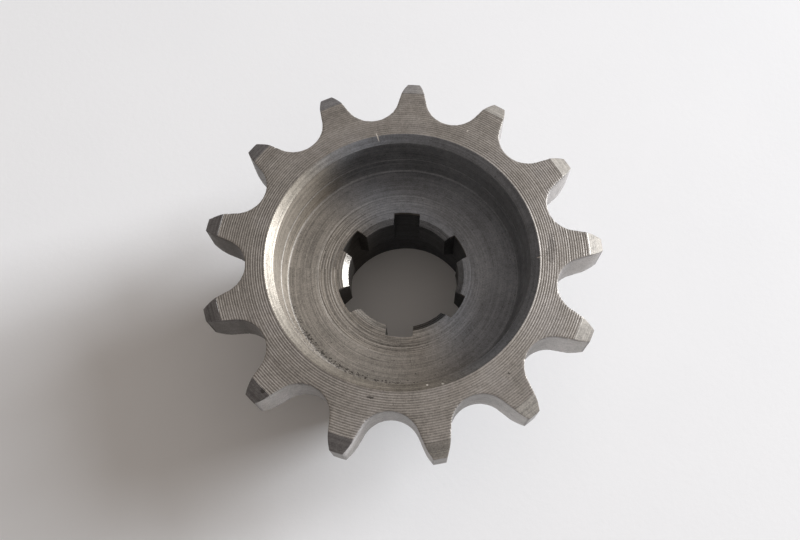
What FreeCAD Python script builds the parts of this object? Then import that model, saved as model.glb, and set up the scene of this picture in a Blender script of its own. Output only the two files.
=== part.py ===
# A chain sprocket turned from one piece of steel: a ring of chain teeth, a deep recess in
# its upper face, a splined web at the bottom of the recess and a hollow hub below the web.
# Its axis is Z. The origin is the middle of the hub's end face, the recess opens towards +Z
# and one tooth points along +Y.
import FreeCAD
import Part
import math
import os
import Sketcher

doc = FreeCAD.newDocument("chain_sprocket")

# Driving dimensions in millimetres and degrees: alias, value, what it is
driving_sizes = [
    ("tooth_count", 13, "teeth on the ring"),
    ("chain_pitch", 12.7, "distance between the chain's rollers"),
    ("seat_radius", 4.26, "radius of the seat under each roller"),
    ("flank_angle", 63.0, "turn of the seat before it becomes a tooth's straight flank"),
    ("flank_length", 2.0, "straight part of a flank, from the seat outwards"),
    ("topping_radius", 7.2, "radius of a tooth's side from that flank out to its tip"),
    ("tooth_rise", 2.29, "height of a tooth above the pitch circle"),
    ("tooth_thickness", 7.2, "thickness of the toothed ring"),
    ("bevel_width", 2.15, "radial width of the bevel at a tooth's tip"),
    ("bevel_depth", 0.9, "axial depth of that bevel, on both faces"),
    ("shoulder_inset", 3.3, "step from the seats in to the shoulder behind the teeth"),
    ("shoulder_chamfer", 0.4, "chamfer on the shoulder's edge"),
    ("rim_wall", 1.575, "wall between the shoulder and the foot of the recess"),
    ("recess_depth", 7.5, "depth of the recess below the upper face"),
    ("flare_width", 0.6, "how much the foot of the recess wall opens outwards"),
    ("flare_height", 2.4, "height of that flare above the recess floor"),
    ("wall_draft", 0.4, "how much the recess wall opens above the flare"),
    ("rim_chamfer_width", 1.2, "radial width of the chamfer round the recess"),
    ("rim_chamfer_depth", 0.75, "axial depth of that chamfer"),
    ("floor_fillet", 0.3, "radius in the corner of the recess floor"),
    ("web_thickness", 4.5, "from the recess floor to the back of the shoulder"),
    ("land_radius", 8.3, "radius of the bore between the spline grooves"),
    ("groove_count", 6, "grooves in the splined bore"),
    ("groove_depth", 1.7, "depth of a groove below the lands"),
    ("groove_width", 4.0, "width of a groove"),
    ("spline_length", 6.2, "from the recess floor to the end of the lands"),
    ("spline_chamfer_width", 0.9, "radial width of the chamfer at the bore's mouth"),
    ("spline_chamfer_depth", 0.6, "axial depth of that chamfer"),
    ("cone_angle", 45.0, "slope of the cone from the lands out to the hub's bore"),
    ("bore_clearance", 0.5, "room round the shaft's splines in the hub's bore"),
    ("hub_wall", 4.5, "wall of the hollow hub"),
    ("hub_length", 11.7, "from the hub's end to the back of the shoulder"),
    ("hub_chamfer", 0.8, "chamfer on the hub's outer end"),
    ("hub_fillet", 0.8, "radius between the hub and the shoulder"),
    ("cut_margin", 1.0, "how far a tooth gap's cutter reaches past the tips"),
]

# Sizes that follow from the driving ones: alias, formula, what it is
derived_sizes = [
    ("pitch_radius", "chain_pitch / (2 * sin(180 deg / tooth_count))", "pitch circle"),
    ("root_radius", "pitch_radius - seat_radius", "bottom of the seats"),
    ("tip_radius", "pitch_radius + tooth_rise", "tips of the teeth"),
    ("bevel_radius", "tip_radius - bevel_width", "inner edge of the tip bevel"),
    ("cutter_reach", "tip_radius + cut_margin", "outer end of a tooth gap's cutter"),
    ("shoulder_radius", "root_radius - shoulder_inset", "shoulder behind the teeth"),
    ("floor_radius", "shoulder_radius - rim_wall", "recess at its floor"),
    ("flare_radius", "floor_radius + flare_width", "recess above the flare"),
    ("throat_radius", "flare_radius + wall_draft", "recess below its rim chamfer"),
    ("rim_radius", "throat_radius + rim_chamfer_width", "recess at the upper face"),
    ("groove_radius", "land_radius + groove_depth", "bottom of the spline grooves"),
    ("mouth_radius", "land_radius + spline_chamfer_width", "bore at the recess floor"),
    ("hub_bore_radius", "groove_radius + bore_clearance", "bore of the hub"),
    ("hub_radius", "hub_bore_radius + hub_wall", "outside of the hub"),
    ("hub_end_radius", "hub_radius - hub_chamfer", "hub's end face"),
    ("shoulder_back_radius", "shoulder_radius - shoulder_chamfer", "shoulder's back face"),
    ("shoulder_edge_height", "hub_length + shoulder_chamfer", "top of the shoulder's chamfer"),
    ("floor_height", "hub_length + web_thickness", "recess floor"),
    ("face_height", "floor_height + recess_depth", "upper face"),
    ("tooth_back_height", "face_height - tooth_thickness", "back of the toothed ring"),
    ("lower_tip_height", "tooth_back_height + bevel_depth", "lower edge of the tooth tips"),
    ("upper_tip_height", "face_height - bevel_depth", "upper edge of the tooth tips"),
    ("throat_height", "face_height - rim_chamfer_depth", "foot of the rim chamfer"),
    ("flare_top_height", "floor_height + flare_height", "top of the flare"),
    ("land_top_height", "floor_height - spline_chamfer_depth", "upper end of the lands"),
    ("land_end_height", "floor_height - spline_length", "lower end of the lands"),
    ("cone_height", "(hub_bore_radius - land_radius) / tan(cone_angle * 1 deg)", "height of the cone"),
    ("cone_end_height", "land_end_height - cone_height", "lower end of the cone"),
    ("groove_cut_start", "land_radius / 2", "inner end of a groove's cutter, in the open bore"),
    ("hub_fillet_used", "min(hub_fillet; abs(shoulder_back_radius - hub_radius) / 2)", "fits its ledge"),
    ("floor_fillet_used", "min(floor_fillet; flare_height / 2)", "fits the recess wall"),
]

sheet = doc.addObject("Spreadsheet::Sheet", "sizes")
row = 1
for alias, value, meaning in driving_sizes:
    sheet.set("A%d" % row, meaning)
    sheet.set("B%d" % row, str(value))
    sheet.setAlias("B%d" % row, alias)
    row += 1
for alias, formula, meaning in derived_sizes:
    sheet.set("A%d" % row, meaning)
    sheet.set("B%d" % row, "=" + formula)
    sheet.setAlias("B%d" % row, alias)
    row += 1
doc.recompute()


def size(alias):
    """A size's number, which places a sketch's points before its constraints hold them."""
    value = sheet.get(alias)
    return float(getattr(value, "Value", value))


body = doc.addObject("PartDesign::Body", "sprocket")
body.Label = "sprocket"


def origin_feature(role):
    """The body's own origin plane or axis with this role."""
    for feature in body.Origin.OriginFeatures:
        if feature.Role == role:
            return feature
    raise RuntimeError("no origin feature " + role)


def new_sketch(name, plane_role):
    sketch = body.newObject("Sketcher::SketchObject", name)
    sketch.AttachmentSupport = [(origin_feature(plane_role), "")]
    sketch.MapMode = "FlatFace"
    return sketch


def bind(sketch, constraint, expression):
    """Add a constraint and bind its value to the sheet."""
    index = sketch.addConstraint(constraint)
    sketch.setExpression("Constraints[%d]" % index, expression)


# How a sketch numbers its own axes, and the points of a line or an arc. The start of the
# horizontal axis is the sketch's origin.
HORIZONTAL_AXIS, VERTICAL_AXIS = range(-1, -3, -1)
START, END, CENTRE = range(1, 4)
SKETCH_ORIGIN = (HORIZONTAL_AXIS, START)
UP = FreeCAD.Vector(0, 0, 1)

# The turned blank: half of its section, corner by corner from the hub's bore outwards.
# Each corner is a radius and a height, and None is the height of the hub's end face.
section_corners = [
    ("hub_bore_radius", None),
    ("hub_end_radius", None),
    ("hub_radius", "hub_chamfer"),
    ("hub_radius", "hub_length"),
    ("shoulder_back_radius", "hub_length"),
    ("shoulder_radius", "shoulder_edge_height"),
    ("shoulder_radius", "tooth_back_height"),
    ("bevel_radius", "tooth_back_height"),
    ("tip_radius", "lower_tip_height"),
    ("tip_radius", "upper_tip_height"),
    ("bevel_radius", "face_height"),
    ("rim_radius", "face_height"),
    ("throat_radius", "throat_height"),
    ("flare_radius", "flare_top_height"),
    ("floor_radius", "floor_height"),
    ("mouth_radius", "floor_height"),
    ("land_radius", "land_top_height"),
    ("land_radius", "land_end_height"),
    ("hub_bore_radius", "cone_end_height"),
]
section = new_sketch("blank_section", "XZ_Plane")
corner_points = []
for radius_alias, height_alias in section_corners:
    height = size(height_alias) if height_alias else 0.0
    corner_points.append(FreeCAD.Vector(size(radius_alias), height, 0))
corner_count = len(corner_points)
for index in range(corner_count):
    next_point = corner_points[(index + 1) % corner_count]
    section.addGeometry(Part.LineSegment(corner_points[index], next_point), False)
for index in range(corner_count):
    next_index = (index + 1) % corner_count
    section.addConstraint(Sketcher.Constraint("Coincident", index, END, next_index, START))
for index, (radius_alias, height_alias) in enumerate(section_corners):
    across = Sketcher.Constraint("DistanceX", *SKETCH_ORIGIN, index, START, size(radius_alias))
    bind(section, across, "sizes." + radius_alias)
    if height_alias is None:
        section.addConstraint(Sketcher.Constraint("PointOnObject", index, START, HORIZONTAL_AXIS))
    else:
        up = Sketcher.Constraint("DistanceY", *SKETCH_ORIGIN, index, START, size(height_alias))
        bind(section, up, "sizes." + height_alias)

blank = body.newObject("PartDesign::Revolution", "blank")
blank.Profile = section
blank.ReferenceAxis = (section, ["V_Axis"])
blank.Angle = 360
section.Visibility = False
doc.recompute()


def ring_edge(shape, radius, height):
    """The name of the round edge that lies nearest to this radius and height."""
    misses = {}
    for number, edge in enumerate(shape.Edges, 1):
        if isinstance(edge.Curve, Part.Circle):
            miss = abs(edge.Curve.Radius - radius) + abs(edge.Curve.Center.z - height)
            misses["Edge%d" % number] = miss
    return min(misses, key=misses.get)


# The two inner corners that a turning tool leaves rounded
hub_corner = body.newObject("PartDesign::Fillet", "hub_corner")
hub_corner.Base = (blank, [ring_edge(blank.Shape, size("hub_radius"), size("hub_length"))])
hub_corner.setExpression("Radius", "sizes.hub_fillet_used")
doc.recompute()
floor_corner = body.newObject("PartDesign::Fillet", "floor_corner")
floor_edge = ring_edge(hub_corner.Shape, size("floor_radius"), size("floor_height"))
floor_corner.Base = (hub_corner, [floor_edge])
floor_corner.setExpression("Radius", "sizes.floor_fillet_used")
doc.recompute()

# One gap between two teeth, on the -Y side: a round seat, two straight flanks that open
# outwards, and a long arc over each neighbouring tooth that ends at a sharp corner on the
# tip circle. The cutter then runs straight out past the tips.
gap = new_sketch("tooth_gap", "XY_Plane")
pitch_radius = size("pitch_radius")
seat_radius = size("seat_radius")
flank_length = size("flank_length")
topping_radius = size("topping_radius")
tip_radius = size("tip_radius")
cutter_reach = size("cutter_reach")
flank_angle = math.radians(size("flank_angle"))
centre_of_part = FreeCAD.Vector(0, 0, 0)
seat_centre = FreeCAD.Vector(0, -pitch_radius, 0)
along_flank = FreeCAD.Vector(math.cos(flank_angle), -math.sin(flank_angle), 0)
into_tooth = FreeCAD.Vector(math.sin(flank_angle), math.cos(flank_angle), 0)
flank_start = seat_centre + into_tooth * seat_radius
flank_end = flank_start + along_flank * flank_length
topping_centre = flank_end + into_tooth * topping_radius
# The tip corner, where the arc about that centre meets the tip circle
centre_distance = topping_centre.Length
reach = (centre_distance**2 + tip_radius**2 - topping_radius**2) / (2 * centre_distance)
aside = math.sqrt(tip_radius**2 - reach**2)
to_centre = topping_centre / centre_distance
tip_corner = to_centre * reach + FreeCAD.Vector(to_centre.y, -to_centre.x, 0) * aside
corner_turn = math.atan2(tip_corner.y - topping_centre.y, tip_corner.x - topping_centre.x)
start_angle = 3 * math.pi / 2 - flank_angle
end_angle = 2 * math.pi + corner_turn
tip_angle = 2 * math.pi + math.atan2(tip_corner.y, tip_corner.x)
outward = tip_corner / tip_radius
outer_corner = outward * cutter_reach


def mirrored(point):
    return FreeCAD.Vector(-point.x, point.y, 0)


def arc(centre, radius, first_angle, last_angle):
    return Part.ArcOfCircle(Part.Circle(centre, UP, radius), first_angle, last_angle)


def line(first, last):
    return Part.LineSegment(first, last)


half_turn = math.pi
seat_arc = arc(seat_centre, seat_radius, half_turn / 2 - flank_angle, half_turn / 2 + flank_angle)
right_arc = arc(topping_centre, topping_radius, start_angle, end_angle)
left_centre = mirrored(topping_centre)
left_arc = arc(left_centre, topping_radius, half_turn - end_angle, half_turn - start_angle)
outer_arc = arc(centre_of_part, cutter_reach, 3 * half_turn - tip_angle, tip_angle)
SEAT = gap.addGeometry(seat_arc, False)
RIGHT_FLANK = gap.addGeometry(line(flank_start, flank_end), False)
RIGHT_TOPPING = gap.addGeometry(right_arc, False)
RIGHT_SIDE = gap.addGeometry(line(tip_corner, outer_corner), False)
OUTER_END = gap.addGeometry(outer_arc, False)
LEFT_SIDE = gap.addGeometry(line(mirrored(outer_corner), mirrored(tip_corner)), False)
LEFT_TOPPING = gap.addGeometry(left_arc, False)
LEFT_FLANK = gap.addGeometry(line(mirrored(flank_end), mirrored(flank_start)), False)

gap_joins = [
    ("Tangent", SEAT, START, RIGHT_FLANK, START),
    ("Tangent", RIGHT_FLANK, END, RIGHT_TOPPING, START),
    ("Tangent", LEFT_FLANK, END, SEAT, END),
    ("Tangent", LEFT_TOPPING, END, LEFT_FLANK, START),
    ("Coincident", RIGHT_TOPPING, END, RIGHT_SIDE, START),
    ("Coincident", RIGHT_SIDE, END, OUTER_END, END),
    ("Coincident", OUTER_END, START, LEFT_SIDE, START),
    ("Coincident", LEFT_SIDE, END, LEFT_TOPPING, START),
    ("PointOnObject", SEAT, CENTRE, VERTICAL_AXIS),
    ("Symmetric", RIGHT_FLANK, END, LEFT_FLANK, START, VERTICAL_AXIS),
    ("Symmetric", RIGHT_TOPPING, END, LEFT_TOPPING, START, VERTICAL_AXIS),
    ("PointOnObject", *SKETCH_ORIGIN, RIGHT_SIDE),
    ("PointOnObject", *SKETCH_ORIGIN, LEFT_SIDE),
    ("Coincident", OUTER_END, CENTRE, *SKETCH_ORIGIN),
]
for join in gap_joins:
    gap.addConstraint(Sketcher.Constraint(*join))
seat_out = Sketcher.Constraint("Distance", *SKETCH_ORIGIN, SEAT, CENTRE, pitch_radius)
bind(gap, seat_out, "sizes.pitch_radius")
bind(gap, Sketcher.Constraint("Radius", SEAT, seat_radius), "sizes.seat_radius")
bind(gap, Sketcher.Constraint("Angle", RIGHT_FLANK, -flank_angle), "-sizes.flank_angle * 1 deg")
bind(gap, Sketcher.Constraint("Distance", RIGHT_FLANK, flank_length), "sizes.flank_length")
bind(gap, Sketcher.Constraint("Radius", RIGHT_TOPPING, topping_radius), "sizes.topping_radius")
corner_out = Sketcher.Constraint("Distance", *SKETCH_ORIGIN, RIGHT_TOPPING, END, tip_radius)
bind(gap, corner_out, "sizes.tip_radius")
bind(gap, Sketcher.Constraint("Radius", OUTER_END, cutter_reach), "sizes.cutter_reach")


def cut_round_the_axis(sketch, name, count_alias):
    """Cut the sketch through the whole height and repeat it round the axis."""
    cut = body.newObject("PartDesign::Pocket", name + "_cut")
    cut.Profile = sketch
    cut.Type = "ThroughAll"
    # The sketch lies in the hub's end face, so the cut runs up into the part
    cut.Reversed = True
    sketch.Visibility = False
    doc.recompute()
    ring = body.newObject("PartDesign::PolarPattern", name + "_ring")
    ring.Originals = [cut]
    ring.Axis = (origin_feature("Z_Axis"), [""])
    ring.Angle = 360
    ring.setExpression("Occurrences", "sizes." + count_alias)
    body.Tip = ring
    doc.recompute()
    return ring


before_teeth = floor_corner.Shape.Volume
teeth = cut_round_the_axis(gap, "tooth_gap", "tooth_count")
if not teeth.Shape.Volume < before_teeth:
    raise RuntimeError("the tooth gaps cut nothing")

# One spline groove, on the +Y side: two straight walls and a bottom round about the axis
groove = new_sketch("spline_groove", "XY_Plane")
groove_radius = size("groove_radius")
half_width = size("groove_width") / 2
groove_cut_start = size("groove_cut_start")
half_angle = math.asin(half_width / groove_radius)
groove_wall_end = groove_radius * math.cos(half_angle)
bottom_arc = arc(centre_of_part, groove_radius, half_turn / 2 - half_angle, half_turn / 2 + half_angle)
right_top = FreeCAD.Vector(half_width, groove_wall_end, 0)
right_foot = FreeCAD.Vector(half_width, groove_cut_start, 0)
BOTTOM = groove.addGeometry(bottom_arc, False)
LEFT_WALL = groove.addGeometry(line(mirrored(right_top), mirrored(right_foot)), False)
INNER_END = groove.addGeometry(line(mirrored(right_foot), right_foot), False)
RIGHT_WALL = groove.addGeometry(line(right_foot, right_top), False)
groove_joins = [
    ("Coincident", BOTTOM, CENTRE, *SKETCH_ORIGIN),
    ("Coincident", BOTTOM, END, LEFT_WALL, START),
    ("Coincident", LEFT_WALL, END, INNER_END, START),
    ("Coincident", INNER_END, END, RIGHT_WALL, START),
    ("Coincident", RIGHT_WALL, END, BOTTOM, START),
    ("Vertical", LEFT_WALL),
    ("Vertical", RIGHT_WALL),
    ("Symmetric", INNER_END, START, INNER_END, END, VERTICAL_AXIS),
]
for join in groove_joins:
    groove.addConstraint(Sketcher.Constraint(*join))
bind(groove, Sketcher.Constraint("Radius", BOTTOM, groove_radius), "sizes.groove_radius")
bind(groove, Sketcher.Constraint("Distance", INNER_END, 2 * half_width), "sizes.groove_width")
foot_up = Sketcher.Constraint("DistanceY", *SKETCH_ORIGIN, INNER_END, START, groove_cut_start)
bind(groove, foot_up, "sizes.groove_cut_start")

before_grooves = teeth.Shape.Volume
grooves = cut_round_the_axis(groove, "spline_groove", "groove_count")
if not grooves.Shape.Volume < before_grooves:
    raise RuntimeError("the spline grooves cut nothing")

body.Placement = FreeCAD.Placement()
doc.recompute()

for item in doc.Objects:
    if "Invalid" in item.State or "Error" in item.State:
        raise RuntimeError("%s failed: %s" % (item.Label, item.State))
if body.Shape.isNull() or not body.Shape.isValid() or len(body.Shape.Solids) != 1:
    raise RuntimeError("the sprocket isn't one valid solid")

os.makedirs("parts", exist_ok=True)
body.Shape.exportStep("parts/" + body.Label + ".step")
box = body.Shape.BoundBox
print("volume %.3f mm3, %.2f x %.2f x %.2f mm" % (body.Shape.Volume, box.XLength, box.YLength, box.ZLength))
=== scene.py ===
import math

import bmesh
import bpy
import numpy as np
from mathutils import Matrix, Vector


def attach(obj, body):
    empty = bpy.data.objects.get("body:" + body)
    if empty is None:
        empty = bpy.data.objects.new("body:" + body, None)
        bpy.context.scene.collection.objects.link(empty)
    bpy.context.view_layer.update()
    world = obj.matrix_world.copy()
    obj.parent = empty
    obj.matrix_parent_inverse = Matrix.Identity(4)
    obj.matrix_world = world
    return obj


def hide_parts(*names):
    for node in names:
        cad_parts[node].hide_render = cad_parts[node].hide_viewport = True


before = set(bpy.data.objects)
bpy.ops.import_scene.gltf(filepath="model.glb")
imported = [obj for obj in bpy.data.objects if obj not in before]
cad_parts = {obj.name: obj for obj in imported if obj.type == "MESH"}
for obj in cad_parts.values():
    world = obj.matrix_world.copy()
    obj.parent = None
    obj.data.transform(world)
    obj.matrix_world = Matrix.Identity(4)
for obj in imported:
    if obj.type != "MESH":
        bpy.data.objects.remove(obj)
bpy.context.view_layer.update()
random = np.random.default_rng(7)

# The skin is one grid of columns round the axis: 12 for each tooth, which is also 26 for each
# spline groove and the land beside it
TEETH = 13
GROOVES = 6
COLUMNS = 156
TOOTH_COLUMNS = COLUMNS // TEETH
SPLINE_COLUMNS = COLUMNS // GROOVES
GROOVE_COLUMNS = 10

# Sizes in millimetres, as in the part's source. The origin is the middle of the hub's end
# face, the recess opens towards +Z and one tooth points along +Y.
MM = 0.001
CHAIN_PITCH = 12.7
PITCH_RADIUS = CHAIN_PITCH / (2 * math.sin(math.pi / TEETH))
SEAT_RADIUS = 4.26
FLANK_ANGLE = math.radians(63)
FLANK_LENGTH = 2.0
TOPPING_RADIUS = 7.2
ROOT_RADIUS = PITCH_RADIUS - SEAT_RADIUS
TIP_RADIUS = PITCH_RADIUS + 2.29
BEVEL_RADIUS = TIP_RADIUS - 2.15
BEVEL_DEPTH = 0.9
HUB_LENGTH = 11.7
FLOOR = HUB_LENGTH + 4.5
FACE = FLOOR + 7.5
TOOTH_BACK = FACE - 7.2
SHOULDER_RADIUS = ROOT_RADIUS - 3.3
SHOULDER_CHAMFER = 0.4
FLOOR_RADIUS = SHOULDER_RADIUS - 1.575
FLOOR_CORNER = 0.3
FLARE_RADIUS = FLOOR_RADIUS + 0.6
FLARE_HEIGHT = 2.4
THROAT_RADIUS = FLARE_RADIUS + 0.4
RIM_RADIUS = THROAT_RADIUS + 1.2
RIM_DEPTH = 0.75
LAND_RADIUS = 8.3
MOUTH_RADIUS = LAND_RADIUS + 0.9
GROOVE_RADIUS = 10.0
GROOVE_HALF = GROOVE_RADIUS * math.sin(GROOVE_COLUMNS * math.pi / COLUMNS)
LAND_TOP = FLOOR - 0.6
LAND_END = FLOOR - 6.2
HUB_BORE = 10.5
HUB_RADIUS = 15.0
HUB_CHAMFER = 0.8
FOOT_FILLET = 0.8

# Wear, in millimetres: the broken edges of the teeth, the rounding of their tip corners and the
# small step at the top of the flare
EDGE = 0.07
CORNER_WEAR = 0.12
LEDGE = 0.08

# Radii where tool marks start or end: the floor is plain from its edge in to the turned part, the
# rings of the face start at the rim's edge and those of the back at the shoulder
FLOOR_EDGE = FLOOR_RADIUS - 0.6
TURNED_FLOOR = 12.9
RIM_EDGE = RIM_RADIUS + 0.1
BACK_EDGE = SHOULDER_RADIUS + SHOULDER_CHAMFER

# How finely the skin is divided: lengths in millimetres, and numbers of points
STATION_STEP = 0.3
RECESS_STEP = 0.5
HUB_STEP = 1.0
BEND_POINTS = 4
LINE_POINTS = 200
CORNER_POINTS = 60
SCALLOP_POINTS = 5

START_ANGLE = math.pi / 2
column_angles = START_ANGLE + np.arange(COLUMNS + 1) * 2 * math.pi / COLUMNS

corner_points = []
quads = []


def add_grid(points):
    """Add a sheet of quads through a grid of points, which has rows, columns and x, y, z."""
    rows, columns = points.shape[:2]
    first = sum(len(block) for block in corner_points)
    corner_points.append(points.reshape(-1, 3))
    number = first + np.arange(rows * columns).reshape(rows, columns)
    sheet = np.stack([number[:-1, :-1], number[1:, :-1], number[1:, 1:], number[:-1, 1:]], -1)
    quads.append(sheet.reshape(-1, 4))


def polar(radius, angle, height):
    radius, angle, height = np.broadcast_arrays(radius, angle, height)
    return np.stack([radius * np.cos(angle), radius * np.sin(angle), height], -1)


def turn_round(path):
    """Add the surface that a path of (radius, height) points leaves when it turns round the axis."""
    path = np.array(path)
    add_grid(polar(path[:, :1], column_angles[None, :], path[:, 1:]))


def soft_path(corners, step):
    """Points along straight runs between (radius, height, rounding) corners, with the corners rounded."""
    spots = [np.array(corner[:2], float) for corner in corners]
    runs = [[spots[0]]]
    for index in range(1, len(corners) - 1):
        before, here, after = spots[index - 1 : index + 2]
        ahead = (here - before) / np.linalg.norm(here - before)
        away = (after - here) / np.linalg.norm(after - here)
        turn = math.acos(np.clip(ahead @ away, -1, 1))
        inward = (away - ahead * math.cos(turn)) / math.sin(turn)
        rounding = corners[index][2]
        begin = here - ahead * rounding * math.tan(turn / 2)
        centre = begin + inward * rounding
        bend = []
        for share in np.linspace(0, 1, BEND_POINTS):
            across, along = math.cos(turn * share), math.sin(turn * share)
            bend.append(centre - inward * rounding * across + ahead * rounding * along)
        runs.append(bend)
    runs.append([spots[-1]])
    path = []
    for run, following in zip(runs, runs[1:]):
        path.extend(run)
        start, end = run[-1], following[0]
        length = np.linalg.norm(end - start)
        # A ring close to each rounded corner keeps the flat part beside it flat
        margin = min(0.06, length / 4)
        count = max(1, round((length - 2 * margin) / step))
        for distance in np.linspace(margin, length - margin, count + 1):
            path.append(start + (end - start) * distance / length)
    path.extend(runs[-1])
    return path


# The tool's feed leaves a ring of shallow scallops, each as wide as the feed
class ToolMarks:
    def __init__(self, feed, depth, spread):
        self.feed = feed
        self.depths = depth * (1 + spread * random.uniform(-1, 1, 400))

    def radii(self, low, high, samples):
        """Radii from low to high that follow the scallops, with this many samples in each."""
        first = math.ceil(low / self.feed * samples)
        last = math.floor(high / self.feed * samples)
        between = np.arange(first, last + 1) * self.feed / samples
        between = between[(between > low + 0.01) & (between < high - 0.01)]
        return np.concatenate([[low], between, [high]])

    def sunk(self, radius):
        """How deep the surface lies below its face at this radius."""
        place = np.asarray(radius) / self.feed + 1e-9
        number = np.floor(place).astype(int)
        share = place - number
        return self.depths[number % len(self.depths)] * (1 - (2 * share - 1) ** 2)


face_marks = ToolMarks(0.34, 0.037, 0.15)
back_marks = ToolMarks(0.35, 0.014, 0.4)
floor_marks = ToolMarks(0.42, 0.036, 0.5)


def gap_line():
    """Half a gap between two teeth: the seat, the straight flank and the tooth's long arc up to its
    slightly worn tip corner, in a frame whose y points outwards along the middle of the gap.
    Gives the points, the directions into the tooth and the distances from the gap's middle."""
    seat_turn = np.linspace(0, FLANK_ANGLE, LINE_POINTS)
    seat_inward = np.stack([np.sin(seat_turn), -np.cos(seat_turn)], -1)
    seat_points = np.array([0, PITCH_RADIUS]) + SEAT_RADIUS * seat_inward
    inward = seat_inward[-1]
    along = np.array([math.cos(FLANK_ANGLE), math.sin(FLANK_ANGLE)])
    flank_points = seat_points[-1] + along * np.linspace(0, FLANK_LENGTH, LINE_POINTS)[:, None]
    flank_inward = np.repeat(inward[None], LINE_POINTS, 0)
    centre = flank_points[-1] + inward * TOPPING_RADIUS
    # The corner's small arc touches the long arc and the tip circle from within
    distance, far, near = np.hypot(*centre), TIP_RADIUS - CORNER_WEAR, TOPPING_RADIUS - CORNER_WEAR
    reach = (distance**2 + far**2 - near**2) / (2 * distance)
    to_centre = centre / distance
    corner = to_centre * reach + np.array([-to_centre[1], to_centre[0]]) * math.sqrt(far**2 - reach**2)
    first = math.atan2(-inward[1], -inward[0]) % (2 * math.pi)
    middle = math.atan2(*(corner - centre)[::-1])
    last = math.atan2(corner[1], corner[0])
    long_arc = np.linspace(first, middle, LINE_POINTS)
    short_arc = np.linspace(middle, last, CORNER_POINTS)
    long_out = np.stack([np.cos(long_arc), np.sin(long_arc)], -1)
    short_out = np.stack([np.cos(short_arc), np.sin(short_arc)], -1)
    long_points = centre + TOPPING_RADIUS * long_out
    short_points = corner + CORNER_WEAR * short_out
    points = np.concatenate([seat_points, flank_points[1:], long_points[1:], short_points[1:]])
    inwards = np.concatenate([seat_inward, flank_inward[1:], -long_out[1:], -short_out[1:]])
    travelled = np.concatenate([[0], np.cumsum(np.linalg.norm(np.diff(points, axis=0), axis=1))])
    return points, inwards, travelled


gap_points, gap_inwards, gap_travel = gap_line()


def gap_edge(inset):
    """Radius and half of the tooth's angle along the gap's line, moved into the tooth by inset."""
    moved = gap_points + gap_inwards * inset
    return np.hypot(moved[:, 0], moved[:, 1]), math.pi / TEETH - np.arctan2(moved[:, 0], moved[:, 1])


def tooth_stations():
    """Places along the gap's line, as distances from its middle, where the skin has a ring."""
    radii = gap_edge(EDGE)[0]
    face_rings = face_marks.radii(radii[0] + 0.08, BEVEL_RADIUS - 0.03, SCALLOP_POINTS)
    bevel_rings = [BEVEL_RADIUS, BEVEL_RADIUS + 0.03, *np.arange(27.0, 28.5, STATION_STEP)]
    rings = np.concatenate([face_rings, bevel_rings])
    corner_places = np.linspace(gap_travel[-CORNER_POINTS], gap_travel[-1], 5)
    places = [0.0, *np.interp(rings, radii, gap_travel), *corner_places]
    filled = [places[0]]
    for place in places[1:]:
        steps = math.ceil((place - filled[-1]) / STATION_STEP)
        filled.extend(np.linspace(filled[-1], place, steps + 1)[1:])
    return np.array(filled)


stations = tooth_stations()


def station_edge(inset):
    """Radius and half angle at each station, moved into the tooth by an inset that may differ along it."""
    insets = np.interp(gap_travel, stations, np.broadcast_to(inset, stations.shape))
    radii, angles = gap_edge(insets[:, None])
    return np.interp(stations, gap_travel, radii), np.interp(stations, gap_travel, angles)


def worn_edge():
    """The size of the broken edge along one flank, with uneven wear and a few nicks."""
    wear = EDGE * (1 + np.convolve(random.uniform(-0.9, 0.9, len(stations)), np.ones(3) / 3, "same"))
    for nick in random.integers(4, len(stations) - 6, 3):
        wear[nick : nick + 2] += random.uniform(0.03, 0.14)
    # The two halves of a gap meet in its middle, and the two sides of a tooth at its tip
    wear[:2] = EDGE
    wear[-6:] = EDGE
    return wear


def bevel_drop(radius):
    return (radius - BEVEL_RADIUS) * BEVEL_DEPTH / (TIP_RADIUS - BEVEL_RADIUS)


def upper_height(radius):
    return np.where(radius < BEVEL_RADIUS, FACE - face_marks.sunk(radius), FACE - bevel_drop(radius))


def lower_height(radius):
    turned = TOOTH_BACK + back_marks.sunk(radius)
    return np.where(radius < BEVEL_RADIUS, turned, TOOTH_BACK + bevel_drop(radius))


station_radii = station_edge(EDGE)[0]
across = np.linspace(0, 1, TOOTH_COLUMNS + 1)


def flat_sheet(wear, height_at, middle):
    """The flat side of a tooth, between its two worn flank edges."""
    left_radii, left_halves = station_edge(wear[0])
    right_radii, right_halves = station_edge(wear[1])
    radii = left_radii[:, None] + across[None, :] * (right_radii - left_radii)[:, None]
    angles = across[None, :] * (left_halves + right_halves)[:, None] - left_halves[:, None]
    return polar(radii, middle + angles, height_at(radii))


def rim_walk(insets, heights, middle):
    """One walk round a tooth's outline: up one flank, over the tip and down the other flank."""
    left_radii, left_halves = station_edge(insets[0])
    right_radii, right_halves = station_edge(insets[1])
    tip_angles = across[1:-1] * (left_halves[-1] + right_halves[-1]) - left_halves[-1]
    walk_radii = np.concatenate([left_radii, np.full(TOOTH_COLUMNS - 1, left_radii[-1]), right_radii[::-1]])
    walk_angles = np.concatenate([-left_halves, tip_angles, right_halves[::-1]])
    tip_heights = np.full(TOOTH_COLUMNS - 1, heights[0][-1])
    walk_heights = np.concatenate([heights[0], tip_heights, heights[1][::-1]])
    return polar(walk_radii, middle + walk_angles, walk_heights)


def edge_walks(wear, height_at, way, middle):
    """Walks that round one worn edge, from the flat side to the flank, and the heights where they end."""
    walks = []
    for share in np.linspace(0, math.pi / 2, BEND_POINTS):
        insets = [side * (1 - math.sin(share)) for side in wear]
        heights = [height_at(station_edge(side)[0]) + way * side * (1 - math.cos(share)) for side in wear]
        walks.append(rim_walk(insets, heights, middle))
    return walks, heights


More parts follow.
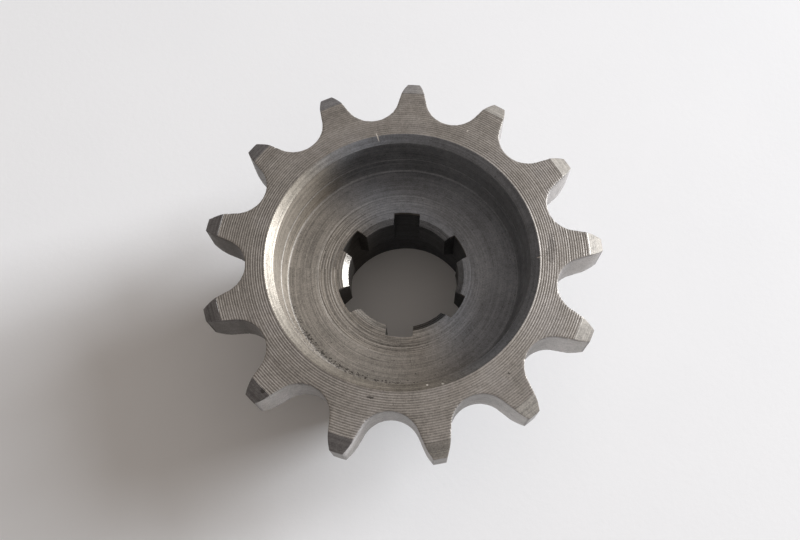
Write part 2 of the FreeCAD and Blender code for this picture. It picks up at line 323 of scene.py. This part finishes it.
for tooth in range(TEETH):
    middle = START_ANGLE + tooth * 2 * math.pi / TEETH
    upper_wear, lower_wear = (worn_edge(), worn_edge()), (worn_edge(), worn_edge())
    add_grid(flat_sheet(upper_wear, upper_height, middle))
    add_grid(flat_sheet(lower_wear, lower_height, middle)[:, ::-1])
    walks, upper_ends = edge_walks(upper_wear, upper_height, -1, middle)
    lower_walks, lower_ends = edge_walks(lower_wear, lower_height, 1, middle)
    for share in (0.25, 0.5, 0.75):
        between = [top * (1 - share) + bottom * share for top, bottom in zip(upper_ends, lower_ends)]
        walks.append(rim_walk((0, 0), between, middle))
    add_grid(np.array(walks + lower_walks[::-1]))

# From the foot of the teeth inwards over the face, down the recess and across its floor
face_radii = face_marks.radii(RIM_EDGE, station_radii[0], SCALLOP_POINTS)[::-1]
turn_round([(radius, FACE - face_marks.sunk(radius)) for radius in face_radii])
recess_corners = [
    (RIM_EDGE, float(FACE - face_marks.sunk(RIM_EDGE))),
    (RIM_RADIUS, FACE, 0.05),
    (THROAT_RADIUS, FACE - RIM_DEPTH, 0.06),
    (FLARE_RADIUS + 0.01, FLOOR + FLARE_HEIGHT + 0.07, 0.03),
    (FLARE_RADIUS - LEDGE, FLOOR + FLARE_HEIGHT, 0.03),
    (FLOOR_RADIUS, FLOOR, FLOOR_CORNER),
    (FLOOR_EDGE, FLOOR),
]
turn_round(soft_path(recess_corners, RECESS_STEP))
turn_round([(radius, FLOOR) for radius in np.linspace(FLOOR_EDGE, TURNED_FLOOR, 16)])


def turned_floor(radius):
    """The height of the floor's inner part, whose tool marks fade out at both of its edges."""
    fade = min(1, (radius - GROOVE_RADIUS) * 8) * min(1, (TURNED_FLOOR - radius) * 8)
    return FLOOR - floor_marks.sunk(radius) * fade


floor_radii = floor_marks.radii(GROOVE_RADIUS, TURNED_FLOOR, SCALLOP_POINTS)[::-1]
turn_round([(radius, turned_floor(radius)) for radius in floor_radii])

# The splined bore: six lands between six grooves, down to the cone that opens into the hub
cone_top = LAND_END - (GROOVE_RADIUS - LAND_RADIUS)
cone_foot = LAND_END - (HUB_BORE - LAND_RADIUS)
land_corners = [
    (GROOVE_RADIUS, FLOOR),
    (MOUTH_RADIUS, FLOOR, 0.04),
    (LAND_RADIUS, LAND_TOP, 0.08),
    (LAND_RADIUS, LAND_END, 0.06),
    (GROOVE_RADIUS, cone_top),
]
land_path = np.array(soft_path(land_corners, RECESS_STEP))
land_radii, land_heights = land_path[:, 0], land_path[:, 1]
land_edges = np.arcsin(GROOVE_HALF / land_radii)
land_halves = math.pi / GROOVES - land_edges
groove_heights = np.linspace(land_heights[0], land_heights[-1], len(land_heights))
groove_half_angle = math.asin(GROOVE_HALF / GROOVE_RADIUS)
land_columns = np.linspace(-1, 1, SPLINE_COLUMNS - GROOVE_COLUMNS + 1)
groove_columns = np.linspace(-1, 1, GROOVE_COLUMNS + 1)
for groove in range(GROOVES):
    middle = START_ANGLE + groove * 2 * math.pi / GROOVES
    land_middle = middle + math.pi / GROOVES
    land_spread = land_middle + land_columns[None, :] * land_halves[:, None]
    add_grid(polar(land_radii[:, None], land_spread, land_heights[:, None]))
    groove_spread = middle + groove_columns[None, :] * groove_half_angle
    bottom = polar(GROOVE_RADIUS, groove_spread, groove_heights[:, None])
    add_grid(bottom)
    for side in (-1, 1):
        inner = polar(land_radii, middle + side * land_edges, land_heights)
        outer = bottom[:, 0] if side < 0 else bottom[:, -1]
        wall = inner[:, None] + (outer - inner)[:, None] * np.linspace(0, 1, 4)[None, :, None]
        add_grid(wall if side < 0 else wall[:, ::-1])

# The hub: its bore, end face and outside, then the shoulder and the back of the toothed ring
hub_corners = [
    (GROOVE_RADIUS, cone_top),
    (HUB_BORE, cone_foot, 0.1),
    (HUB_BORE, 0, 0.12),
    (HUB_RADIUS - HUB_CHAMFER, 0, 0.08),
    (HUB_RADIUS, HUB_CHAMFER, 0.08),
    (HUB_RADIUS, HUB_LENGTH, FOOT_FILLET),
    (SHOULDER_RADIUS - SHOULDER_CHAMFER, HUB_LENGTH, 0.06),
    (SHOULDER_RADIUS, HUB_LENGTH + SHOULDER_CHAMFER, 0.06),
    (SHOULDER_RADIUS, TOOTH_BACK, 0.15),
    (BACK_EDGE, TOOTH_BACK),
]
turn_round(soft_path(hub_corners, HUB_STEP))
back_radii = back_marks.radii(BACK_EDGE, station_radii[0], SCALLOP_POINTS - 1)
back_fade = np.clip((back_radii - SHOULDER_RADIUS - SHOULDER_CHAMFER) * 8, 0, 1)
turn_round(np.stack([back_radii, TOOTH_BACK + back_marks.sunk(back_radii) * back_fade], -1))

# The sheets meet in the same points, which are merged into one closed skin
mesh = bpy.data.meshes.new("sprocket_steel")
mesh.from_pydata((np.concatenate(corner_points) * MM).tolist(), [], np.concatenate(quads).tolist())
skin = bmesh.new()
skin.from_mesh(mesh)
bmesh.ops.remove_doubles(skin, verts=skin.verts, dist=2e-6)
bmesh.ops.recalc_face_normals(skin, faces=skin.faces)
skin.to_mesh(mesh)
skin.free()
mesh.shade_smooth()
mesh.set_sharp_from_angle(angle=math.radians(42))
sprocket = bpy.data.objects.new("sprocket_steel", mesh)
bpy.context.scene.collection.objects.link(sprocket)
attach(sprocket, "root")
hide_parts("sprocket")


class Shading:
    """The nodes of a material or of the room's world, with helpers that add and join plain ones."""

    def __init__(self, owner):
        owner.use_nodes = True
        self.nodes = owner.node_tree.nodes
        self.links = owner.node_tree.links

    def add(self, kind):
        return self.nodes.new("ShaderNode" + kind)

    def put(self, socket, value):
        if isinstance(value, bpy.types.NodeSocket):
            self.links.new(value, socket)
        else:
            socket.default_value = value

    def maths(self, operation, *values):
        node = self.add("Math")
        node.operation = operation
        for socket, value in zip(node.inputs, values):
            self.put(socket, value)
        return node.outputs[0]

    def total(self, first, *others):
        for value in others:
            first = self.maths("ADD", first, value)
        return first

    def times(self, first, *others):
        for value in others:
            first = self.maths("MULTIPLY", first, value)
        return first

    def inverse(self, value):
        return self.maths("SUBTRACT", 1.0, value)

    def ramp(self, value, low, high, from_value=0.0, to_value=1.0):
        """A value that goes smoothly from one level to another while the input goes from low to high."""
        node = self.add("MapRange")
        node.interpolation_type = "SMOOTHSTEP"
        self.put(node.inputs["Value"], value)
        self.put(node.inputs["From Min"], low)
        self.put(node.inputs["From Max"], high)
        self.put(node.inputs["To Min"], from_value)
        self.put(node.inputs["To Max"], to_value)
        return node.outputs["Result"]

    def band(self, value, low, high, soft):
        """1 between low and high, 0 outside, with soft ends."""
        rise = self.ramp(value, low - soft, low + soft)
        fall = self.ramp(value, high - soft, high + soft, 1.0, 0.0)
        return self.times(rise, fall)

    def noise(self, place, scale, detail, roughness):
        node = self.add("TexNoise")
        self.put(node.inputs["Vector"], place)
        self.put(node.inputs["Scale"], scale)
        self.put(node.inputs["Detail"], detail)
        self.put(node.inputs["Roughness"], roughness)
        return node.outputs["Fac"]

    def vector(self, x, y, z):
        node = self.add("CombineXYZ")
        for socket, value in zip(node.inputs, (x, y, z)):
            self.put(socket, value)
        return node.outputs[0]

    def vector_maths(self, operation, first, second=None):
        node = self.add("VectorMath")
        node.operation = operation
        self.put(node.inputs[0], first)
        if second is not None:
            self.put(node.inputs[1], second)
        return node.outputs["Value"]

    def place(self):
        """The place on the object in millimetres."""
        node = self.add("VectorMath")
        node.operation = "SCALE"
        self.put(node.inputs[0], self.add("TexCoord").outputs["Object"])
        self.put(node.inputs["Scale"], 1000.0)
        return node.outputs["Vector"]

    def split(self, vector):
        node = self.add("SeparateXYZ")
        self.put(node.inputs[0], vector)
        return node.outputs

    def blend(self, share, first, second, mode="MIX"):
        node = self.add("Mix")
        node.data_type = "RGBA"
        node.blend_type = mode
        self.put(node.inputs["Factor"], share)
        self.put(node.inputs["A"], first)
        self.put(node.inputs["B"], second)
        return node.outputs["Result"]

    def mix_shaders(self, share, first, second):
        node = self.add("MixShader")
        for socket, value in zip(node.inputs, (share, first.outputs[0], second.outputs[0])):
            self.put(socket, value)
        return node.outputs[0]

    def bump(self, height, strength, distance, before=None):
        node = self.add("Bump")
        self.put(node.inputs["Height"], height)
        self.put(node.inputs["Strength"], strength)
        self.put(node.inputs["Distance"], distance)
        if before is not None:
            self.put(node.inputs["Normal"], before)
        return node.outputs["Normal"]


# Bare turned steel: rings left by the tool, a fine grain, stains and small pits, with painted light and
# shade on some sides, edges and rings
steel_material = bpy.data.materials.new("turned_steel")
steel = Shading(steel_material)
place = steel.place()
x, y, z = steel.split(place)
radius = steel.maths("SQRT", steel.total(steel.times(x, x), steel.times(y, y)))
angle = steel.maths("ARCTAN2", y, x)
normal_x, normal_y, facing = steel.split(steel.add("NewGeometry").outputs["True Normal"])

ringed = steel.vector(radius, steel.times(angle, 0.4), z)
streak = steel.noise(ringed, 2.6, 3.0, 0.7)
broad_streak = steel.noise(ringed, 0.9, 3.0, 0.6)
fine_ring = steel.noise(steel.vector(radius, steel.times(angle, 0.15), z), 6.0, 2.0, 0.6)
grain = steel.noise(place, 4.5, 4.0, 0.75)
stain = steel.noise(place, 0.16, 4.0, 0.6)
spot = steel.noise(place, 1.3, 4.0, 0.6)

# Zones of the surface, each 1 inside and 0 outside
upright = steel.ramp(steel.maths("ABSOLUTE", facing), 0.35, 0.6, 1.0, 0.0)
level = steel.inverse(upright)
bevel = steel.times(steel.ramp(radius, BEVEL_RADIUS - 0.05, BEVEL_RADIUS + 0.05), level)
face_zone = steel.times(steel.ramp(z, FACE - 0.1, FACE - 0.06), level)
off_face = steel.inverse(face_zone)
flank = steel.times(upright, steel.ramp(radius, 19.5, 20.5))
wall = steel.times(upright, steel.band(radius, 16.5, 18.9, 0.2))
near_face = steel.ramp(z, FACE - 0.9, FACE - 0.8)
rim_chamfer = steel.times(steel.band(radius, THROAT_RADIUS, RIM_RADIUS, 0.05), near_face)
above_web = steel.ramp(z, FLOOR - 0.1, FLOOR - 0.05)
floor_zone = steel.times(above_web, steel.ramp(z, FLOOR + 0.1, FLOOR + 1.0, 1.0, 0.0))
ring_zone = steel.times(floor_zone, steel.band(radius, 9.3, TURNED_FLOOR, 0.3))
below_mouth = steel.ramp(z, LAND_TOP - 0.05, LAND_TOP + 0.05, 1.0, 0.0)
bore_zone = steel.times(below_mouth, steel.ramp(radius, 10.8, 11.0, 1.0, 0.0))
mouth_width = steel.band(radius, LAND_RADIUS - 0.1, MOUTH_RADIUS, 0.02)
mouth_zone = steel.times(steel.band(z, LAND_TOP, FLOOR - 0.03, 0.02), mouth_width)
within_rim = steel.ramp(radius, RIM_RADIUS - 0.01, RIM_RADIUS + 0.03, 1.0, 0.0)
recess_zone = steel.times(above_web, within_rim)
inner_zone = steel.maths("MINIMUM", steel.total(recess_zone, bore_zone, mouth_zone), 1.0)

# Painted shade: the flanks on the left that face down and away from the light are darker
turned_down = steel.total(steel.times(normal_x, -0.342), steel.times(normal_y, -0.94))
shaded_flank = steel.times(flank, steel.ramp(turned_down, 0.62, 0.95), steel.ramp(x, -23.0, -16.0, 1.0, 0.0))

# Inside the recess the side towards the lower left, which the lamps light, is painted brighter and warm as
# painted light, and the other side duller as painted shade
lower_left_share = steel.total(steel.times(x, -0.819), steel.times(y, -0.574))
lower_left_share = steel.maths("DIVIDE", lower_left_share, radius)
lit_side = steel.ramp(lower_left_share, 0.0, 0.42)
warm_lit_side = steel.ramp(lower_left_share, -0.3, 0.42)
shaded_side = steel.inverse(lit_side)

# How much darker or brighter the metal is, first by its fine marks and then by its zones, partly as painted
# light and shade.
# Angles run round the axis from +X, in radians.
# The face's real tool rings also get painted light and shade: lighter crests and darker troughs, stronger
# towards the lower left
ring_light_and_shade = steel.maths("COSINE", steel.times(radius, 2 * math.pi / face_marks.feed))
ring_light_and_shade_depth = steel.ramp(steel.total(x, y), -14.0, 2.0, 0.22, 0.12)
# Off the face the fine rings show fully on the lit side and at half strength on the shaded side, as painted
# light
fine_ring_depth = steel.times(off_face, steel.ramp(shaded_side, 0.0, 1.0, 1.0, 0.5))
tone = steel.total(
    steel.times(steel.ramp(streak, 0.3, 0.7, -0.12, 0.12), steel.inverse(steel.times(face_zone, 0.7))),
    steel.times(ring_light_and_shade, steel.times(face_zone, ring_light_and_shade_depth)),
    # Painted light: near the bore the floor's rings are drawn as bright and dark lines on the lit side only
    steel.times(steel.times(ring_zone, lit_side), steel.ramp(fine_ring, 0.44, 0.56, -0.16, 0.16)),
    steel.ramp(broad_streak, 0.3, 0.7, -0.06, 0.06),
    steel.times(steel.ramp(fine_ring, 0.3, 0.7, -0.16, 0.16), fine_ring_depth),
    steel.ramp(grain, 0.3, 0.7, -0.18, 0.18),
    steel.ramp(stain, 0.35, 0.65, -0.10, 0.06),
    steel.ramp(spot, 0.3, 0.7, -0.08, 0.08),
    steel.times(flank, steel.ramp(radius, 22.3, 26.0, 0.12, 0.48)),
    1.0,
)
zone_tone = steel.total(
    1.0,
    steel.times(floor_zone, 0.12),
    steel.times(wall, 0.18),
    # Painted light: the wall towards the lower left, on the side the lamps light, is brighter
    steel.times(wall, steel.times(steel.band(angle, -2.45, -1.6, 0.25), 0.32)),
    steel.times(steel.maths("MAXIMUM", face_zone, bevel), 0.12),
    # Painted shade: the bevels towards the lower left, which face away from the lamps, are darker
    steel.times(bevel, steel.band(angle, -2.9, -1.7, 0.2), -0.16),
    steel.times(flank, 0.14),
    steel.times(flank, steel.ramp(radius, 28.5, 28.7), -0.35),
    steel.times(shaded_flank, -0.62),
    steel.times(rim_chamfer, -0.08),
    steel.times(bore_zone, -0.52),
    steel.times(mouth_zone, -0.25),
    # Painted highlight: the mouth chamfer towards the lower left is much brighter
    steel.times(mouth_zone, steel.band(angle, -2.4, -1.75, 0.15), 1.0),
)
tone = steel.times(tone, zone_tone)

# The metal's colour, a little warmer or cooler by zone, with painted shade on the left bevels and the
# recess's shaded side and painted warm light on its lit side
PLAIN, STAINED = (0.312, 0.288, 0.262, 1), (0.292, 0.276, 0.268, 1)
BEVEL_PAINTED_SHADE, LIT_BEVEL = (0.265, 0.254, 0.252, 1), (0.312, 0.291, 0.263, 1)
FLANK = (0.281, 0.279, 0.283, 1)
INNER_PAINTED_SHADE, INNER_PAINTED_LIGHT = (0.270, 0.279, 0.299, 1), (0.311, 0.289, 0.261, 1)
WALL_PAINTED_LIGHT, CHAMFER_PAINTED_LIGHT = (0.324, 0.288, 0.244, 1), (0.322, 0.291, 0.248, 1)
base = steel.blend(steel.times(steel.ramp(stain, 0.4, 0.7), 0.4), PLAIN, STAINED)
# Painted shade on the bevels, with a lit copy of their colour on the right
base = steel.blend(bevel, base, BEVEL_PAINTED_SHADE)
base = steel.blend(steel.times(bevel, steel.ramp(x, -6.0, 8.0)), base, LIT_BEVEL)
base = steel.blend(steel.times(flank, 0.5), base, FLANK)
# Painted light and shade in the recess: a warm tint on its lit side and a cool one on its shaded side
base = steel.blend(inner_zone, base, steel.blend(warm_lit_side, INNER_PAINTED_SHADE, INNER_PAINTED_LIGHT))
# Painted light: a warm tint on the wall on the left, which the lamps light, and on the rim chamfer's lit
# side
base = steel.blend(steel.times(wall, steel.ramp(x, -9.0, -14.0)), base, WALL_PAINTED_LIGHT)
base = steel.blend(steel.times(rim_chamfer, lit_side), base, CHAMFER_PAINTED_LIGHT)
colour = steel.blend(1.0, base, steel.vector(tone, tone, tone), "MULTIPLY")

# Small pits, close together at the foot of the wall on the lower left
pitted = steel.times(steel.band(radius, 16.6, 18.4, 0.3), steel.band(angle, -2.75, -1.35, 0.25))
pit_limit = steel.maths("SUBTRACT", 0.69, steel.times(pitted, 0.17))
pit = steel.times(steel.maths("SUBTRACT", steel.noise(place, 4.6, 2.0, 0.5), pit_limit), 40.0)
pit = steel.maths("MINIMUM", steel.maths("MAXIMUM", pit, 0.0), 1.0)
colour = steel.blend(steel.times(pit, 0.75), colour, (0.05, 0.044, 0.04, 1))

# Ragged dark bands along the upper and the lower edge of each flank: painted shade under the burred edges
BURR_SHADE = (0.06, 0.054, 0.05, 1)
upper_burr_shade = steel.times(flank, steel.band(z, FACE - 0.55, FACE - 0.12, 0.08), steel.ramp(spot, 0.3, 0.6))
colour = steel.blend(steel.times(upper_burr_shade, 0.5), colour, BURR_SHADE)
lower_burr_shade = steel.times(flank, steel.band(z, TOOTH_BACK + 0.03, TOOTH_BACK + 0.45, 0.03))
lower_burr_shade = steel.times(lower_burr_shade, steel.ramp(spot, 0.65, 0.4))
colour = steel.blend(steel.times(lower_burr_shade, 0.4), colour, BURR_SHADE)


def mark(middle_x, middle_y, length, width, turn):
    """A ragged oval patch on the face, in millimetres, with its long side turned by some degrees."""
    turn = math.radians(turn)
    off_x, off_y = steel.maths("SUBTRACT", x, middle_x), steel.maths("SUBTRACT", y, middle_y)
    long_x = steel.times(off_x, 2 * math.cos(turn) / length)
    long_y = steel.times(off_y, 2 * math.sin(turn) / length)
    wide_x = steel.times(off_x, -2 * math.sin(turn) / width)
    wide_y = steel.times(off_y, 2 * math.cos(turn) / width)
    away = steel.vector(steel.total(long_x, long_y), steel.total(wide_x, wide_y), 0.0)
    ragged = steel.total(steel.vector_maths("LENGTH", away), steel.ramp(grain, 0.2, 0.8, -0.5, 0.5))
    return steel.times(steel.ramp(ragged, 0.7, 1.15, 1.0, 0.0), steel.ramp(z, FACE - 1.3, FACE - 1.1))


# Each has its middle, length, width and turn, and a stain also its depth
stains = (
    (-11.4, -20.0, 3.4, 1.2, -20, 0.35),
    (-2.9, -20.6, 1.1, 0.32, -5, 0.7),
    (15.5, -16.3, 0.4, 0.35, 0, 0.7),
    (21.2, 2.0, 1.3, 5.0, 0, 0.3),
    (-17.3, -20.5, 0.9, 0.7, 40, 0.55),
    (15.4, -20.7, 2.4, 0.2, -34, 0.5),
    (19.65, 0.9, 0.5, 0.2, 0, 0.8),
)
bright_nicks = (
    (4.6, -18.4, 0.3, 0.25, 0),
    (6.7, -18.2, 0.35, 0.2, 0),
    (-4.9, 18.9, 1.3, 0.16, -66),
    (19.5, 0.75, 0.6, 0.16, 10),
    (8.6, 20.6, 0.3, 0.2, 30),
)
for *shape, depth in stains:
    colour = steel.blend(steel.times(mark(*shape), depth), colour, (0.05, 0.043, 0.04, 1))
for shape in bright_nicks:
    colour = steel.blend(mark(*shape), colour, (0.8, 0.76, 0.7, 1))

# Part of the light is mirrored sharply and part spread widely, in shares that differ by zone
grain_bump = steel.bump(grain, 0.5, 0.00004)
ring_bump = steel.bump(streak, 0.45, 0.00006, grain_bump)
smooth_part = steel.nodes["Principled BSDF"]
rough_part = steel.add("BsdfPrincipled")
smooth_level = steel.total(
    steel.ramp(streak, 0.25, 0.75, 0.44, 0.54),
    steel.times(rim_chamfer, -0.05),
    steel.times(mouth_zone, -0.22),
    steel.times(face_zone, -0.07),
    steel.times(wall, 0.08),
)
for part, roughness in ((smooth_part, smooth_level), (rough_part, 0.8)):
    steel.put(part.inputs["Base Color"], colour)
    steel.put(part.inputs["Metallic"], 1.0)
    steel.put(part.inputs["Roughness"], roughness)
    steel.put(part.inputs["Normal"], ring_bump)
rough_share = steel.total(
    0.68,
    steel.times(rim_chamfer, -0.3),
    steel.times(flank, -0.25),
    steel.times(mouth_zone, -0.35),
    steel.times(face_zone, -0.2),
    steel.times(ring_zone, -0.25),
    steel.times(bevel, 0.22),
)
surface = steel.mix_shaders(rough_share, smooth_part, rough_part)
steel.put(steel.nodes["Material Output"].inputs["Surface"], surface)
mesh.materials.append(steel_material)

# The sheet below: a matt disc, faintly uneven, that lies just under the hub's end face
SHEET_RADIUS = 2
SHEET_HEIGHT = -0.00002
RIM_POINTS = 96
sheet_material = bpy.data.materials.new("pale_sheet")
sheet = Shading(sheet_material)
place = sheet.place()
cloud = sheet.ramp(sheet.noise(place, 0.02, 4.0, 0.6), 0.3, 0.7)
stretched = [sheet.times(axis, share) for axis, share in zip(sheet.split(place), (0.05, 0.16, 0.1))]
scuff = sheet.ramp(sheet.noise(sheet.vector(*stretched), 1.0, 5.0, 0.7), 0.66, 0.74)
pale = sheet.blend(cloud, (0.857, 0.855, 0.858, 1), (0.875, 0.872, 0.874, 1))
pale = sheet.blend(sheet.times(scuff, 0.35), pale, (0.80, 0.79, 0.79, 1))
matt = sheet.nodes["Principled BSDF"]
sheet.put(matt.inputs["Base Color"], pale)
sheet.put(matt.inputs["Roughness"], 0.9)
sheet.put(matt.inputs["Normal"], sheet.bump(sheet.noise(place, 1.0, 5.0, 0.7), 0.16, 0.0001))
sheet_mesh = bpy.data.meshes.new("sheet")
rim_turns = np.arange(RIM_POINTS) * 2 * math.pi / RIM_POINTS
rim = [(SHEET_RADIUS * math.cos(turn), SHEET_RADIUS * math.sin(turn), SHEET_HEIGHT) for turn in rim_turns]
sheet_mesh.from_pydata(rim, [], [tuple(range(RIM_POINTS))])
sheet_mesh.materials.append(sheet_material)
sheet_object = bpy.data.objects.new("sheet", sheet_mesh)
bpy.context.scene.collection.objects.link(sheet_object)

# Two soft lamps on the right, one above the other, both turned to the middle of the sprocket
LAMP_AZIMUTH = math.radians(26.2)
LAMP_DISTANCE = 1.6
LAMP_COLOUR = (0.965, 1.0, 1.05)
LAMP_TARGET = Vector((0, 0, 0.012))


def soft_lamp(name, elevation, width, height, watts):
    lamp = bpy.data.lights.new(name, "AREA")
    lamp.shape = "RECTANGLE"
    lamp.size = width
    lamp.size_y = height
    lamp.energy = watts
    lamp.color = LAMP_COLOUR
    rise = math.radians(elevation)
    level = math.cos(rise)
    away = Vector((math.cos(LAMP_AZIMUTH) * level, math.sin(LAMP_AZIMUTH) * level, math.sin(rise)))
    holder = bpy.data.objects.new(name, lamp)
    holder.location = LAMP_TARGET + away * LAMP_DISTANCE
    holder.rotation_euler = away.to_track_quat("Z", "Y").to_euler()
    bpy.context.scene.collection.objects.link(holder)


soft_lamp("window_low", 14.8, 0.42, 0.46, 38.5)
soft_lamp("window_high", 31, 0.52, 0.51, 11.6)

# The room is dim, a little brighter overhead and towards the lamps
room = bpy.data.worlds.new("room")
bpy.context.scene.world = room
sky = Shading(room)
direction = sky.add("TexCoord").outputs["Generated"]
upwards = sky.split(direction)[2]
overhead = sky.ramp(upwards, 0.45, 0.9, 0.13, 0.41)
glow_azimuth = math.radians(42)
glow_middle = (math.cos(glow_azimuth) * 0.87, math.sin(glow_azimuth) * 0.87, 0.5)
glow = sky.ramp(sky.vector_maths("DOT_PRODUCT", direction, glow_middle), 0.45, 1.0, 0.0, 0.22)
# Low down, polished steel reflects a pale backdrop, which lights nothing
ray = sky.add("LightPath")
mirrored = sky.total(ray.outputs["Is Glossy Ray"], ray.outputs["Is Transmission Ray"])
backdrop = sky.times(sky.ramp(upwards, 0.04, 0.2, 0.6, 0.0), mirrored)
lighting = sky.nodes["Background"]
sky.put(lighting.inputs["Color"], (1.03, 0.935, 0.86, 1))
sky.put(lighting.inputs["Strength"], sky.total(overhead, backdrop, glow))
# The camera itself sees the same pale backdrop all round
seen = sky.add("Background")
sky.put(seen.inputs["Color"], (0.80, 0.795, 0.79, 1))
sky.put(seen.inputs["Strength"], 1.0)
surroundings = sky.mix_shaders(ray.outputs["Is Camera Ray"], lighting, seen)
sky.put(sky.nodes["World Output"].inputs["Surface"], surroundings)

# The camera, at the photograph's place
CAMERA_PLACE = Vector((5.458, -41.832, 130.445)) * MM
CAMERA_BACK = Vector((0.02529, -0.34995, 0.93643))
CAMERA_TILT = math.radians(-0.908)
camera_data = bpy.data.cameras.new("camera")
camera_data.sensor_width = 36
camera_data.lens = 36.33
camera_data.shift_x = -0.0239
camera_data.shift_y = -0.0018
camera_data.clip_start = 0.01
camera_data.clip_end = 10
back_axis = CAMERA_BACK.normalized()
right_axis = Vector((0, 0, 1)).cross(back_axis).normalized()
up_axis = back_axis.cross(right_axis)
turned = Matrix((right_axis, up_axis, back_axis)).transposed() @ Matrix.Rotation(CAMERA_TILT, 3, "Z")
camera = bpy.data.objects.new("camera", camera_data)
camera.matrix_world = Matrix.Translation(CAMERA_PLACE) @ turned.to_4x4()
bpy.context.scene.collection.objects.link(camera)
bpy.context.scene.camera = camera

bpy.context.scene.view_settings.view_transform = "Standard"
bpy.context.view_layer.update()
